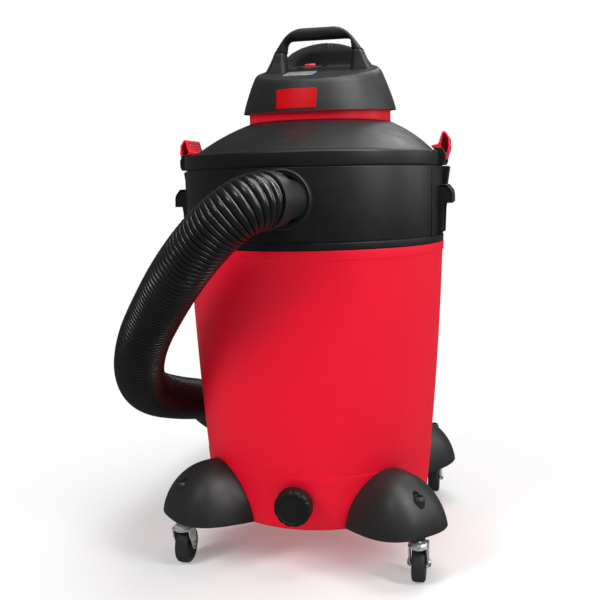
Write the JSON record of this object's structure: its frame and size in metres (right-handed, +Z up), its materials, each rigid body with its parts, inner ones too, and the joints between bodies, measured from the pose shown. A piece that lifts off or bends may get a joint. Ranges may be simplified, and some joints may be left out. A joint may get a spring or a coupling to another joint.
{
  "type": "shop vacuum",
  "caption": "Wheeled wet and dry shop vacuum: tapered drum with drain cap on swivel casters, latched lift-off motor head with carrying handle, ribbed hose and cartridge filter.",
  "frame": {"origin": "on the floor, under the middle of the drum and its four feet", "axes": "+Z up; -Y towards the front, where the inlet port and the drain cap are; +X to the right as seen from the front"},
  "size_m": [0.4984, 0.9606, 0.7505],
  "materials": {
    "drum_red": "satin moulded plastic",
    "ring_red": "satin moulded plastic",
    "latch_red": "satin moulded plastic",
    "rocker_red": "gloss",
    "badge": "gloss printed plate, plain",
    "label": "gloss printed plate, plain",
    "bezel": "satin",
    "black_plastic": "satin moulded plastic",
    "head_black": "fine textured plastic",
    "grip_black": "fine textured plastic",
    "port_black": "satin",
    "cuff_black": "satin",
    "hose_black": "glossy ribbed plastic",
    "cap_black": "satin",
    "foot_black": "satin",
    "wheel_black": "matt",
    "inner_plastic": "matt",
    "float_plastic": "matt",
    "filter_paper": "pleated paper",
    "foam": "open cell foam",
    "rubber": "matt",
    "zinc": "bright zinc plate",
    "steel": "plain",
    "aluminium": "spun",
    "copper_windings": "laminations and windings",
    "carbon": "carbon block"
  },
  "bodies": {
    "tank": {"drum": "drum_red", "collar": "black_plastic", "inlet_fitting": "port_black", "inlet_deflector": "inner_plastic", "hose_cuff": "cuff_black", "hose": "hose_black", "hose_end_cuff": "cuff_black", "drain_neck": "drum_red", "foot_screws": "steel", "foot_front_left": "foot_black", "foot_front_right": "foot_black", "foot_rear_left": "foot_black", "foot_rear_right": "foot_black"},
    "head": {"lid": "black_plastic", "lid_gasket": "rubber", "latch_pins": "steel", "motor_ring": "ring_red", "motor_cover": "head_black", "handle_grip": "grip_black", "badge_plate": "badge", "deck_label": "label", "switch_bezel": "bezel", "switch_body": "inner_plastic", "blower_port": "port_black", "cord_gland": "rubber", "cover_screws": "steel", "motor_base_plate": "inner_plastic", "motor_frame": "inner_plastic", "stator": "steel", "carbon_brushes": "carbon", "lower_bearing": "steel", "upper_bearing": "steel", "fan_housing": "inner_plastic", "filter_cage": "inner_plastic", "sound_foam": "foam"},
    "latch_left": {"latch_left": "latch_red"},
    "latch_right": {"latch_right": "latch_red"},
    "rocker": {"switch_rocker": "rocker_red"},
    "rotor": {"motor_shaft": "steel", "armature": "copper_windings", "commutator": "copper_windings", "cooling_fan": "inner_plastic", "impeller": "aluminium"},
    "float": {"float_ball": "float_plastic"},
    "filter": {"filter_cartridge": "filter_paper"},
    "retainer": {"filter_retainer": "inner_plastic"},
    "drain_carrier": {"drain_gasket": "rubber"},
    "drain_knob": {"drain_cap": "cap_black"},
    "swivel_front_left": {"caster_fork_front_left": "zinc", "caster_axle_front_left": "steel"},
    "wheel_front_left": {"caster_wheel_front_left": "wheel_black"},
    "swivel_front_right": {"caster_fork_front_right": "zinc", "caster_axle_front_right": "steel"},
    "wheel_front_right": {"caster_wheel_front_right": "wheel_black"},
    "swivel_rear_left": {"caster_fork_rear_left": "zinc", "caster_axle_rear_left": "steel"},
    "wheel_rear_left": {"caster_wheel_rear_left": "wheel_black"},
    "swivel_rear_right": {"caster_fork_rear_right": "zinc", "caster_axle_rear_right": "steel"},
    "wheel_rear_right": {"caster_wheel_rear_right": "wheel_black"}
  },
  "joints": [
    {"name": "head_lift", "type": "slide", "parent": "tank", "child": "head", "axis": [0, 0, 1], "range_m": [0, 0.215]},
    {"name": "latch_left_hinge", "type": "hinge", "parent": "head", "child": "latch_left", "pos_m": [-0.1868, 0, 0.5555], "axis": [0, -1, 0], "range_deg": [0, 60]},
    {"name": "latch_right_hinge", "type": "hinge", "parent": "head", "child": "latch_right", "pos_m": [0.1868, 0, 0.5555], "axis": [0, 1, 0], "range_deg": [0, 60]},
    {"name": "switch_rock", "type": "hinge", "parent": "head", "child": "rocker", "pos_m": [-0.02, 0.076, 0.69625], "axis": [0, 0.9701, 0.2425], "range_deg": [-18, 0]},
    {"name": "motor_spin", "type": "hinge", "parent": "head", "child": "rotor", "pos_m": [0, 0.048, 0.6], "axis": [0, 0, 1], "continuous": true},
    {"name": "float_rise", "type": "slide", "parent": "head", "child": "float", "axis": [0, 0, 1], "range_m": [0, 0.09]},
    {"name": "filter_pull", "type": "slide", "parent": "head", "child": "filter", "axis": [0, 0, -1], "range_m": [0, 0.17]},
    {"name": "retainer_unscrew", "type": "slide", "parent": "filter", "child": "retainer", "axis": [0, 0, -1], "range_m": [0, 0.035]},
    {"name": "drain_cap_off", "type": "slide", "parent": "tank", "child": "drain_carrier", "axis": [0, -1, 0], "range_m": [0, 0.03]},
    {"name": "drain_cap_turn", "type": "hinge", "parent": "drain_carrier", "child": "drain_knob", "pos_m": [0, -0.18, 0.101], "axis": [0, -1, 0], "range_deg": [0, 1440]},
    {"name": "swivel_front_left", "type": "hinge", "parent": "tank", "child": "swivel_front_left", "pos_m": [-0.1624, -0.1624, 0.07], "axis": [0, 0, 1], "continuous": true},
    {"name": "wheel_spin_front_left", "type": "hinge", "parent": "swivel_front_left", "child": "wheel_front_left", "pos_m": [-0.1624, -0.1524, 0.025], "axis": [1, 0, 0], "continuous": true},
    {"name": "swivel_front_right", "type": "hinge", "parent": "tank", "child": "swivel_front_right", "pos_m": [0.1624, -0.1624, 0.07], "axis": [0, 0, 1], "continuous": true},
    {"name": "wheel_spin_front_right", "type": "hinge", "parent": "swivel_front_right", "child": "wheel_front_right", "pos_m": [0.1624, -0.1524, 0.025], "axis": [1, 0, 0], "continuous": true},
    {"name": "swivel_rear_left", "type": "hinge", "parent": "tank", "child": "swivel_rear_left", "pos_m": [-0.1624, 0.1624, 0.07], "axis": [0, 0, 1], "continuous": true},
    {"name": "wheel_spin_rear_left", "type": "hinge", "parent": "swivel_rear_left", "child": "wheel_rear_left", "pos_m": [-0.1624, 0.1724, 0.025], "axis": [1, 0, 0], "continuous": true},
    {"name": "swivel_rear_right", "type": "hinge", "parent": "tank", "child": "swivel_rear_right", "pos_m": [0.1624, 0.1624, 0.07], "axis": [0, 0, 1], "continuous": true},
    {"name": "wheel_spin_rear_right", "type": "hinge", "parent": "swivel_rear_right", "child": "wheel_rear_right", "pos_m": [0.1624, 0.1724, 0.025], "axis": [1, 0, 0], "continuous": true}
  ],
  "couplings": [
    {"joint": "drain_cap_turn", "follows": "drain_cap_off", "rad_per_m": 837.76}
  ]
}
